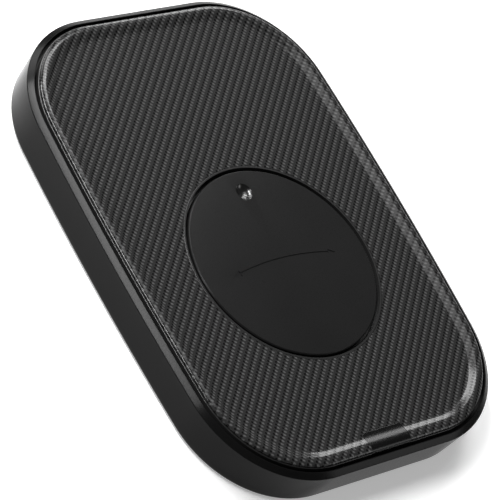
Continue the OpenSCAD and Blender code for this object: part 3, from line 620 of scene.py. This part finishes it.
class JIGGLER_OT_tray(bpy.types.Operator):
    """Model the moulded tray: walls, chamfer, rim and floor, with its openings and bosses"""

    bl_idname = "jiggler.tray"
    bl_label = "Tray"

    def execute(self, context):
        s = context.scene.jiggler_shell
        colours = context.scene.jiggler_finishes
        base, back = TRAY[0].z, TRAY[1].y
        floor = base + s.floor_t
        rim = rim_inset()
        crisp = 0.45 * s.rim_w
        profile = [
            (MIDDLE, floor, 0), (s.wall_t, floor, 0.3 * MM), (s.wall_t, PLATE_Z, 0),
            (rim, PLATE_Z, 0), (rim, RIM_Z, crisp), (s.chamfer_w, RIM_Z, crisp),
            (0, base + s.wall_h, 0.25 * MM), (s.draft, base + s.foot_round, 0.2 * MM),
            (s.draft + s.foot_round * 0.3, base + s.foot_round * 0.3, 0.3 * MM),
            (s.draft + s.foot_round, base, 0.2 * MM), (MIDDLE, base, 0),
        ]
        piece = Outline(s).sweep("tray", rounded(profile))
        feet = places("rubber_feet", FOOT_R)

        # The openings of the back wall, a little larger than what stands in them
        play, inwards = 0.4 * MM, 4 * MM
        inlet, inlet_z = INLET[1] - INLET[0], (INLET[0].z + INLET[1].z) / 2
        knob, knob_size, travel = (KNOB[0] + KNOB[1]) / 2, KNOB[1] - KNOB[0], knob_travel()
        x = knob.x + travel / 2
        half_w, half_h = (knob_size.x + travel + play) / 2, (knob_size.z + play) / 2
        more_w, more_h, finger_in = 2.4 * MM, 1 * MM, 1.1 * MM
        finger = lying_bar("finger", (x, knob.z), 2 * half_w + more_w, 2 * half_h + more_h,
                           back - finger_in, back + OVER)
        combine(piece, [finger], "DIFFERENCE")
        cuts = [rod("pocket", p, FOOT_R + 2 * FIT, base - OVER, FEET[1].z) for p in feet]
        cuts.append(lying_bar("inlet_hole", (0, inlet_z), inlet.x + play, inlet.z + play,
                              back - inwards, back + OVER))
        cuts.append(block("slot", (x - half_w, back - inwards, knob.z - half_h),
                          (x + half_w, back + OVER, knob.z + half_h)))
        combine(piece, cuts, "DIFFERENCE")

        # The bosses of the case screws, and the seats
        boss_r, head_r, head_h = 3.2 * MM, 2.1 * MM, 1.2 * MM
        bosses = [rod("boss", p, boss_r, floor - SINK, PANEL[0].z) for p in feet]
        for held, radius, carried, seat_r in SEATS:
            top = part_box(carried)[0].z
            bosses += [rod("seat", p, seat_r * MM, floor - SINK, top)
                       for p in places(held, radius * MM)]
        combine(piece, bosses, "UNION")
        head_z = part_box("case_screws")[0].z + head_h
        combine(piece, [rod("drill", p, head_r, base, head_z) for p in feet], "DIFFERENCE")

        # The narrow rim and chamfer stay crisp: the angle is under half a step of their arcs
        finish_piece(piece, "casing",
                     moulded_abs("moulded_abs_shell", colours.shell), "base_tray", smooth=6)
        return {"FINISHED"}


def roll_profile(sizes, z, first):
    """The rolled edge above height z: a quarter round from an inset, then an easy slope down."""
    groove = rim_inset() + sizes.groove_w
    start, low = 0.15 * MM, 0.05 * MM
    points = []
    for i in range(BAND_STEPS):
        across = first + (sizes.roll_crest - first) * i / BAND_STEPS
        k = (sizes.roll_crest - across) / (sizes.roll_crest - start)
        points.append((groove + across, z + low + (sizes.roll_h - low) * math.sqrt(1 - k * k)))
    for i in range(BAND_STEPS + 1):
        across = sizes.roll_crest + (sizes.roll_foot - sizes.roll_crest) * i / BAND_STEPS
        slope = (1 + math.cos(math.pi * i / BAND_STEPS)) / 2
        points.append((groove + across, z + sizes.roll_h * slope))
    return points


def guide_block(name, room, low, high):
    """The place of the light guide under the window, with room round it."""
    half_w, front, back = 3 * MM, -54.95 * MM, -52.55 * MM
    return block(name, (-half_w - room, front - room, low), (half_w + room, back + room, high))


def window_block(room, low):
    """The window's place, open at the panel's front edge, with two rounded corners."""
    corner, reach = 1 * MM, 5 * MM
    piece = block("window_block", (WINDOW[0].x - room, WINDOW[0].y - reach, low),
                  (WINDOW[1].x + room, WINDOW[1].y + room, CAD_BOX[1].z + reach))
    for edge in piece.data.edges:
        a, b = (piece.data.vertices[i].co for i in edge.vertices)
        edge.select = abs(a.z - b.z) > corner and min(a.y, b.y) > WINDOW[1].y - corner
    select_only(piece)
    bpy.ops.object.mode_set(mode="EDIT")
    bpy.ops.mesh.select_mode(type="EDGE")
    bpy.ops.mesh.bevel(offset=corner + room, segments=8)
    bpy.ops.mesh.select_mode(type="VERT")
    bpy.ops.object.mode_set(mode="OBJECT")
    return piece


class JIGGLER_OT_panel(bpy.types.Operator):
    """Model the plate under the skin: its bare lip, the ring round the turntable and the bosses"""

    bl_idname = "jiggler.panel"
    bl_label = "Panel"

    def execute(self, context):
        s = context.scene.jiggler_panel
        d = context.scene.jiggler_disc
        colours = context.scene.jiggler_finishes
        cover = FIELD_Z - s.skin_t
        edge = rim_inset() + s.groove_w
        roll = roll_profile(s, cover, s.lip_w)
        lip_h = 0.17 * MM
        profile = [(MIDDLE, PLATE_Z, 0), (edge, PLATE_Z, 0), (edge, RIM_Z + lip_h, lip_h),
                   (roll[0][0], RIM_Z + lip_h, 0)]
        profile += [(*p, 0) for p in roll + [(MIDDLE, cover)]]
        piece = Outline(context.scene.jiggler_shell).sweep("panel", rounded(profile))

        # The bare ring round the turntable. It has some to spare, which goes with the hole
        centre = disc_centre()
        hole = d.radius + d.gap
        spare = 0.4 * MM
        inner, outer = hole - spare, hole + s.recess_lip - FIT
        ring = rounded([(inner, PLATE_Z, 0), (outer, PLATE_Z, 0), (outer, FIELD_Z, EASE),
                        (inner, FIELD_Z, EASE), (inner, PLATE_Z, 0)])
        combine(piece, [lathe("ring", ring, centre)], "UNION")
        combine(piece, [rod("hole", centre, hole, PLATE_Z - OVER, FIELD_Z + OVER, LARGE_ROUND)],
                "DIFFERENCE")

        # The screw bosses, and the hole of the light guide
        boss_r, thread_r, boss_in = 2.4 * MM, 1.01 * MM, 0.3 * MM
        feet = places("rubber_feet", FOOT_R)
        bosses = [rod("boss", p, boss_r, PANEL[0].z, PLATE_Z + boss_in) for p in feet]
        combine(piece, bosses, "UNION")
        screw_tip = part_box("case_screws")[1].z
        drills = [rod("drill", p, thread_r, PANEL[0].z - OVER, screw_tip) for p in feet]
        drills.append(guide_block("guide_hole", FIT, PLATE_Z - OVER, BAR_Z + FIT))
        combine(piece, drills, "DIFFERENCE")
        finish_piece(piece, "casing",
                     moulded_abs("moulded_abs_panel", colours.panel, level=0.2), "top_panel")
        return {"FINISHED"}


class JIGGLER_OT_skin(bpy.types.Operator):
    """Model the woven skin over the panel and its rolled edge"""

    bl_idname = "jiggler.skin"
    bl_label = "Woven skin"

    def execute(self, context):
        s = context.scene.jiggler_panel
        d = context.scene.jiggler_disc
        colours = context.scene.jiggler_finishes
        cover = FIELD_Z - s.skin_t
        first, *top = roll_profile(s, FIELD_Z, s.lip_w)
        under = roll_profile(s, cover, s.lip_w)
        hem = 0.15 * MM
        profile = [(*p, 0) for p in [(MIDDLE, cover)] + under[::-1]]
        profile += [(*first, hem)] + [(*p, 0) for p in top + [(MIDDLE, FIELD_Z)]]
        piece = Outline(context.scene.jiggler_shell).sweep("skin", rounded(profile))
        hole = rod("hole", disc_centre(), d.radius + d.gap + s.recess_lip,
                   cover - OVER, FIELD_Z + OVER, LARGE_ROUND)
        combine(piece, [hole], "DIFFERENCE")
        combine(piece, [window_block(FIT, cover - OVER)], "DIFFERENCE")
        finish_piece(piece, "casing",
                     twill_weave("twill_weave", colours.weave, s), "woven_skin")
        return {"FINISHED"}


class JIGGLER_OT_window(bpy.types.Operator):
    """Model the gloss window that bridges the rolled edge at the front"""

    bl_idname = "jiggler.window"
    bl_label = "Window"

    def execute(self, context):
        s = context.scene.jiggler_panel
        colours = context.scene.jiggler_finishes
        edge = rim_inset() + s.groove_w
        front_h, first, guide_in = 0.05 * MM, 0.2 * MM, 0.1 * MM
        profile = [(MIDDLE, BAR_Z), (edge, BAR_Z), (edge, RIM_Z + front_h)]
        profile += roll_profile(s, FIELD_Z, first) + [(MIDDLE, FIELD_Z)]
        piece = Outline(context.scene.jiggler_shell).sweep("window", profile)
        combine(piece, [window_block(0, BAR_Z - OVER)], "INTERSECT")
        combine(piece, [guide_block("guide", 0, WINDOW[0].z, BAR_Z + guide_in)], "UNION")
        soften(piece, 0.07 * MM)
        finish_piece(piece, "casing",
                     gloss_acrylic("gloss_acrylic", colours.window), "indicator_window")
        return {"FINISHED"}


class JIGGLER_OT_disc(bpy.types.Operator):
    """Model the turntable's disc with its dimple and its engraved turning mark"""

    bl_idname = "jiggler.disc"
    bl_label = "Disc"

    def execute(self, context):
        d = context.scene.jiggler_disc
        colours = context.scene.jiggler_finishes
        centre = disc_centre()
        low, top = DISC[0].z, DISC[1].z

        # From the spindle's pocket in the hub, out under the plate to the skirt and its flange
        pocket_r, pocket_top, hub_r = 1.55 * MM, 9.8 * MM, 8 * MM
        plate, skirt = top - 1.6 * MM, d.radius - 1.4 * MM
        flange_r, flange_top = DISC[1].x - centre.x, low + 0.5 * MM
        profile = [
            (0, pocket_top, 0), (pocket_r, pocket_top, 0), (pocket_r, low, 0), (hub_r, low, 0),
            (hub_r, plate, 0), (skirt, plate, 0), (skirt, low, 0), (flange_r, low, EASE),
            (flange_r, flange_top, EASE), (d.radius, flange_top, EASE),
            (d.radius, top - d.bevel, EASE), (d.radius - d.bevel, top, EASE), (0, top, 0),
        ]
        piece = lathe("disc", rounded(profile), centre)

        # The dimple's bowl is part of a ball. The three screws stand in a ring round the hub
        ball = (d.dimple_r**2 + d.dimple_h**2) / (2 * d.dimple_h)
        at = (centre.x, centre.y + d.dimple_at, top - d.dimple_h + ball)
        clear_selection()
        bpy.ops.mesh.primitive_uv_sphere_add(segments=96, ring_count=64, radius=ball, location=at)
        drills = [named("bowl")]
        bpy.ops.object.transform_apply()
        screws, screw_at, thread_r = 3, 5.6 * MM, 0.71 * MM
        screw_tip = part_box("disc_screws")[1].z
        for i in range(screws):
            way = Matrix.Rotation(math.tau * i / screws, 2) @ Vector((screw_at, 0))
            drills.append(rod("drill", centre + way, thread_r, low - OVER, screw_tip))
        combine(piece, drills, "DIFFERENCE")
        for tool in turning_mark(d, centre, top):
            combine(piece, [tool], "DIFFERENCE")
        satin = satin_disc("satin_abs_disc", colours.disc, (at[0], at[1], top), d.dimple_r)
        finish_piece(piece, "turntable", satin, "turntable_disc")
        return {"FINISHED"}


def turning_mark(sizes, centre, top):
    """The cutters of a shallow arc with an arrow head at each end."""
    radius = (sizes.mark_l**2 / 4 + sizes.mark_bow**2) / (2 * sizes.mark_bow)
    middle = Vector((centre.x, centre.y + sizes.mark_bow / 2 - radius))
    reach = math.asin((sizes.mark_l / 2 - sizes.mark_head) / radius)
    low, high = top - sizes.mark_h, top + 0.5 * MM
    half = sizes.mark_w / 2
    section = [(radius - half, low), (radius + half, low), (radius + half, high),
               (radius - half, high), (radius - half, low)]
    line = draw_profile("mark", [(middle.x + p[0], p[1]) for p in section], middle.y)
    spin(middle, 2 * reach, LINE_STEPS)
    close_up()
    line.matrix_world = turn_about(middle, math.pi / 2 - reach)
    bpy.ops.object.transform_apply()

    # Each head is a cylinder with three sides: 1.5 of its radii long, with a third of that length
    # behind its middle
    wide = sizes.mark_w * 1.6 / math.cos(math.pi / 6)
    heads = []
    for side in (-1, 1):
        clear_selection()
        bpy.ops.mesh.primitive_cylinder_add(vertices=3, radius=1, depth=1)
        head = named("head")
        head.scale = (wide, sizes.mark_head / 1.5, high - low)
        bpy.ops.object.transform_apply()
        way = math.pi / 2 + side * reach
        tip = middle + Vector((math.cos(way), math.sin(way))) * radius
        lie = way + side * math.pi / 2
        out = Vector((math.cos(lie), math.sin(lie))) * sizes.mark_head / 3
        head.rotation_euler = (0, 0, lie - math.pi / 2)
        head.location = (tip.x + out.x, tip.y + out.y, (low + high) / 2)
        bpy.ops.object.transform_apply()
        heads.append(head)
    return [line] + heads


def turn_about(point, angle):
    pivot = Matrix.Translation((point.x, point.y, 0))
    return pivot @ Matrix.Rotation(angle, 4, "Z") @ pivot.inverted()


class JIGGLER_OT_feet(bpy.types.Operator):
    """Model the four rubber feet"""

    bl_idname = "jiggler.feet"
    bl_label = "Feet"

    def execute(self, context):
        colours = context.scene.jiggler_finishes
        low, high = FEET[0].z, FEET[1].z
        bevel = 0.25 * MM
        profile = rounded([(0, low, 0), (FOOT_R - bevel, low, EASE), (FOOT_R, low + bevel, EASE),
                           (FOOT_R, high, EASE / 2), (0, high, 0)])
        piece = join([lathe("foot", profile, p, FOOT_ROUND) for p in places("rubber_feet", FOOT_R)])
        piece.name = piece.data.name = "feet"
        finish_piece(piece, "casing",
                     cast_rubber("cast_rubber", colours.rubber), "rubber_feet")
        return {"FINISHED"}


class JIGGLER_OT_inlet(bpy.types.Operator):
    """Model the inlet's folded steel shell and the ribbed knob of the switch"""

    bl_idname = "jiggler.inlet"
    bl_label = "Inlet and switch"

    def execute(self, context):
        colours = context.scene.jiggler_finishes
        size = INLET[1] - INLET[0]
        at = ((INLET[0] + INLET[1]) / 2).xz
        front, back = INLET[0].y, INLET[1].y
        sheet = 0.3 * MM
        shell = lying_bar("inlet_shell", at, size.x, size.z, front, back)
        core = lying_bar("core", at, size.x - 2 * sheet, size.z - 2 * sheet,
                         front - OVER, back + OVER)
        combine(shell, [core], "DIFFERENCE")
        soften(shell, 0.06 * MM)
        finish_piece(shell, "casing",
                     bare_metal("nickel_plated_steel", linear("b9bbc0"), 0.28), "usb_socket")

        knob = block("knob", KNOB[0], KNOB[1])
        count, width, depth = 4, 0.3 * MM, 0.25 * MM
        pitch = (KNOB[1].x - KNOB[0].x) / count
        grooves = []
        for i in range(count):
            x = (KNOB[0].x + KNOB[1].x) / 2 + (i - (count - 1) / 2) * pitch
            grooves.append(block("groove", (x - width / 2, KNOB[1].y - depth, KNOB[0].z - OVER),
                                 (x + width / 2, KNOB[1].y + OVER, KNOB[1].z + OVER)))
        combine(knob, grooves, "DIFFERENCE")
        soften(knob, 0.07 * MM)
        finish_piece(knob, "power_slider",
                     plain_plastic("moulded_abs_knob", colours.rubber, 0.4), "switch_knob")
        return {"FINISHED"}


# The inner pieces' finishes: how each is made, its name, colour, roughness and, where it isn't the
# usual one, grain and its height in mm, and the nodes that have it
INNER_FINISHES = (
    # Acetal, moulded: milky and slippery
    (plain_plastic, "moulded_acetal", "e6e3d8", (0.36,), ("turntable_gear", "idler_gear")),
    # Nylon, turned: paler and duller
    (plain_plastic, "turned_nylon", "efece0", (0.45,), ("thrust_washer", "idler_washer")),
    # Steel, turned or cold headed: clear bright grey
    (bare_metal, "turned_steel", "b4b6ba", (0.24,),
     ("disc_screws", "spindle_pin", "idler_pin", "idler_clip", "motor_shaft", "motor_screws",
      "board_screws", "indicator_screws", "case_screws")),
    # Tinned sheet, drawn: a duller grey
    (bare_metal, "tinned_sheet", "a6a8ac", (0.34,), ("motor_can", "motor_plate", "switch_body")),
    # Brass, cut: warm yellow
    (bare_metal, "cut_brass", "b8934a", (0.3,), ("motor_pinion", "motor_bush")),
    # Ferrite, pressed: dark, dry and coarse
    (plain_plastic, "pressed_ferrite", "3c3c41", (0.55, 0.5, 0.01), ("motor_magnet",)),
    # Enamelled copper wire, wound: reddish, with the ridges of its turns
    (bare_metal, "enamelled_copper", "a85a2c", (0.3, 0.12, 0.02), ("motor_coil",)),
    # Solder mask, sprayed on glass cloth: dark green with a glossy ripple
    (plain_plastic, "solder_mask", "17462f", (0.3, 1.2, 0.01), ("main_board", "indicator_board")),
    # Epoxy, moulded: flat black
    (plain_plastic, "moulded_epoxy", "1c1c1f", (0.5,),
     ("controller_chip", "driver_chip", "usb_tongue")),
    # Nylon, moulded: cream
    (plain_plastic, "moulded_nylon_cream", "cfc9b6", (0.42,), ("ribbon_sockets",)),
    # Polyimide film: amber and glossy
    (plain_plastic, "polyimide_film", "b8782c", (0.28,), ("motor_ribbon", "indicator_ribbon")),
    # Clear epoxy, cast: pale and shiny
    (plain_plastic, "clear_epoxy_lamp", "e8e4d4", (0.15,), ("status_led",)),
    # Ceramic, sintered: tan and dull
    (plain_plastic, "sintered_ceramic", "93795a", (0.6,), ("chip_passives",)),
    # Aluminium can, drawn: cool grey
    (bare_metal, "aluminium_can", "9aa0a8", (0.3,), ("capacitors",)),
)


class JIGGLER_OT_inside(bpy.types.Operator):
    """Finish the inner pieces, which keep the frame's own shapes"""

    bl_idname = "jiggler.inside"
    bl_label = "Inner pieces"

    def execute(self, context):
        for make, name, value, surface, nodes in INNER_FINISHES:
            material = make(name, linear(value), *surface)
            for node in nodes:
                slots = frame["nodes"][node].material_slots
                for slot in slots:
                    slot.material = material
                if not slots:
                    frame["nodes"][node].data.materials.append(material)
        return {"FINISHED"}


# ---------------------------------------------------------------- stage, light and camera


CAMERA_AT = Vector((-430.52, -198.66, 450.35)) * MM
CAMERA_AIM = Vector((-7.21, -4.66, 11.05)) * MM
CAMERA_ROLL = math.radians(42.67)
CAMERA_LENS, CAMERA_SENSOR = 215.72, 36  # in mm, as the camera's own values are

FLOOR_SIZE = 8
FLOOR_DROP = 0.05 * MM  # keeps the floor from lying in the faces of the feet
FLOOR_PAINT = 0.88  # what the floor reflects
FLOOR_LIFT = 0.32  # what it adds to the eye and to mirrors, so that it shows white
SKY = 0.12  # strength of the even light from all round

# The soft boxes: name, place in metres, direction of the first side, both sides in metres, and
# radiance. Each hangs where the camera sees it mirrored in one part of the object
SOFT_BOXES = (
    # The roll's slope along the right side, and the even light on top
    ("overhead", (0.20, 0.30, 0.88), (1, 0, 0), (0.40, 0.30), 3.0),
    # The chamfer of the left side
    ("chamfer_strip", (-0.337, 0.507, 0.73), (0.224, 0.438, -0.177), (0.78, 0.13), 36.0),
    # The roll's outer face on the left side
    ("left", (-0.76, 0.334, 0.72), (0, 0, 1), (0.2, 0.2), 14.0),
    # The roll's slope round the front right corner
    ("corner", (0.37, 0.57, 0.71), (1, -1, 0), (0.36, 0.28), 13.0),
    # The roll's slope along the front
    ("back_right", (0.62, 0.65, 0.29), (-0.05, 0.21, -0.16), (0.4, 0.15), 9.0),
    # The chamfer round the far left corner
    ("back", (0.05, 0.90, 0.40), (1, 0, 0), (0.35, 0.25), 7.0),
    # The chamfer along the front
    ("front_right", (0.66, -0.52, 0.48), (0, 0, 1), (0.3, 0.3), 2.5),
)


def soft_box(name, at, along, size, radiance):
    """A soft box that looks at the object, with its first side along a direction."""
    light = bpy.data.lights.new(name, "AREA")
    light.shape, light.size, light.size_y = "RECTANGLE", size[0], size[1]
    light.energy = radiance * math.pi * size[0] * size[1]
    lamp = bpy.data.objects.new(name, light)
    bpy.context.scene.collection.objects.link(lamp)
    away = Vector(at).normalized()
    side = Vector(along)
    side = (side - away * side.dot(away)).normalized()
    turn = Matrix((side, away.cross(side), away)).transposed()
    lamp.matrix_world = Matrix.Translation(at) @ turn.to_4x4()
    lamp.visible_camera = False


def pale_floor():
    # Matt white paint: an even pale ground that keeps the object's shadow
    material = bpy.data.materials.new("pale_floor")
    material.use_nodes = True
    tree = material.node_tree
    tree.nodes.clear()
    paint = add_node(tree, "ShaderNodeBsdfDiffuse", {}, {"Color": (FLOOR_PAINT,) * 3 + (1,)})
    ray = add_node(tree, "ShaderNodeLightPath").outputs
    seen = ray["Is Camera Ray"]
    for other in ("Is Glossy Ray", "Is Transmission Ray"):
        seen = add_node(tree, "ShaderNodeMath", {"operation": "MAXIMUM"},
                        {0: seen, 1: ray[other]}).outputs[0]
    lift = add_node(tree, "ShaderNodeMath", {"operation": "MULTIPLY"}, {0: seen, 1: FLOOR_LIFT})
    glow = add_node(tree, "ShaderNodeEmission", {},
                    {"Color": (1, 1, 1, 1), "Strength": lift.outputs[0]})
    both = add_node(tree, "ShaderNodeAddShader", {}, {0: paint.outputs[0], 1: glow.outputs[0]})
    add_node(tree, "ShaderNodeOutputMaterial", {}, {"Surface": both.outputs[0]})
    return material


class JIGGLER_OT_stage(bpy.types.Operator):
    """Set the pale floor, the soft boxes and the camera"""

    bl_idname = "jiggler.stage"
    bl_label = "Stage"

    def execute(self, context):
        clear_selection()
        bpy.ops.mesh.primitive_plane_add(size=FLOOR_SIZE, location=(0, 0, -FLOOR_DROP))
        floor = named("floor")
        floor.data.materials.append(pale_floor())

        world = bpy.data.worlds.new("studio")
        context.scene.world = world
        world.use_nodes = True
        tree = world.node_tree
        tree.nodes.clear()
        sky = add_node(tree, "ShaderNodeBackground", {}, {"Color": (1, 1, 1, 1), "Strength": SKY})
        add_node(tree, "ShaderNodeOutputWorld", {}, {"Surface": sky.outputs[0]})
        for values in SOFT_BOXES:
            soft_box(*values)

        data = bpy.data.cameras.new("camera")
        data.lens, data.sensor_width = CAMERA_LENS, CAMERA_SENSOR
        data.clip_start, data.clip_end = 0.01, 20
        camera = bpy.data.objects.new("camera", data)
        context.scene.collection.objects.link(camera)
        camera.location = CAMERA_AT
        camera.rotation_mode = "QUATERNION"
        way = (CAMERA_AIM - CAMERA_AT).normalized()
        camera.rotation_quaternion = Quaternion(way, -CAMERA_ROLL) @ way.to_track_quat("-Z", "Y")
        context.scene.camera = camera
        context.scene.view_settings.view_transform = "Standard"
        return {"FINISHED"}


# ---------------------------------------------------------------- the add-on


STEPS = (JIGGLER_OT_tray, JIGGLER_OT_panel, JIGGLER_OT_skin, JIGGLER_OT_window, JIGGLER_OT_disc,
         JIGGLER_OT_feet, JIGGLER_OT_inlet, JIGGLER_OT_inside, JIGGLER_OT_stage)

GROUPS = {"jiggler_shell": ShellSizes, "jiggler_panel": PanelSizes, "jiggler_disc": DiscSizes,
          "jiggler_finishes": Finishes}


class JIGGLER_PT_panel(bpy.types.Panel):
    bl_label = "Mouse jiggler"
    bl_idname = "JIGGLER_PT_panel"
    bl_space_type = "VIEW_3D"
    bl_region_type = "UI"
    bl_category = "Jiggler"

    def draw(self, context):
        for step in STEPS:
            self.layout.operator(step.bl_idname)
        for group in GROUPS:
            values = getattr(context.scene, group)
            box = self.layout.box()
            for name in values.__annotations__:
                box.prop(values, name)


def register():
    for group in GROUPS.values():
        bpy.utils.register_class(group)
    for name, group in GROUPS.items():
        setattr(bpy.types.Scene, name, PointerProperty(type=group))
    for step in STEPS + (JIGGLER_PT_panel,):
        bpy.utils.register_class(step)


def unregister():
    for step in reversed(STEPS + (JIGGLER_PT_panel,)):
        bpy.utils.unregister_class(step)
    for name in GROUPS:
        delattr(bpy.types.Scene, name)
    for group in GROUPS.values():
        bpy.utils.unregister_class(group)


def main():
    register()
    for step in STEPS:
        group, name = step.bl_idname.split(".")
        if getattr(getattr(bpy.ops, group), name)() != {"FINISHED"}:
            raise RuntimeError(step.bl_label + " didn't finish")
    bpy.context.view_layer.update()


if __name__ == "__main__":
    main()
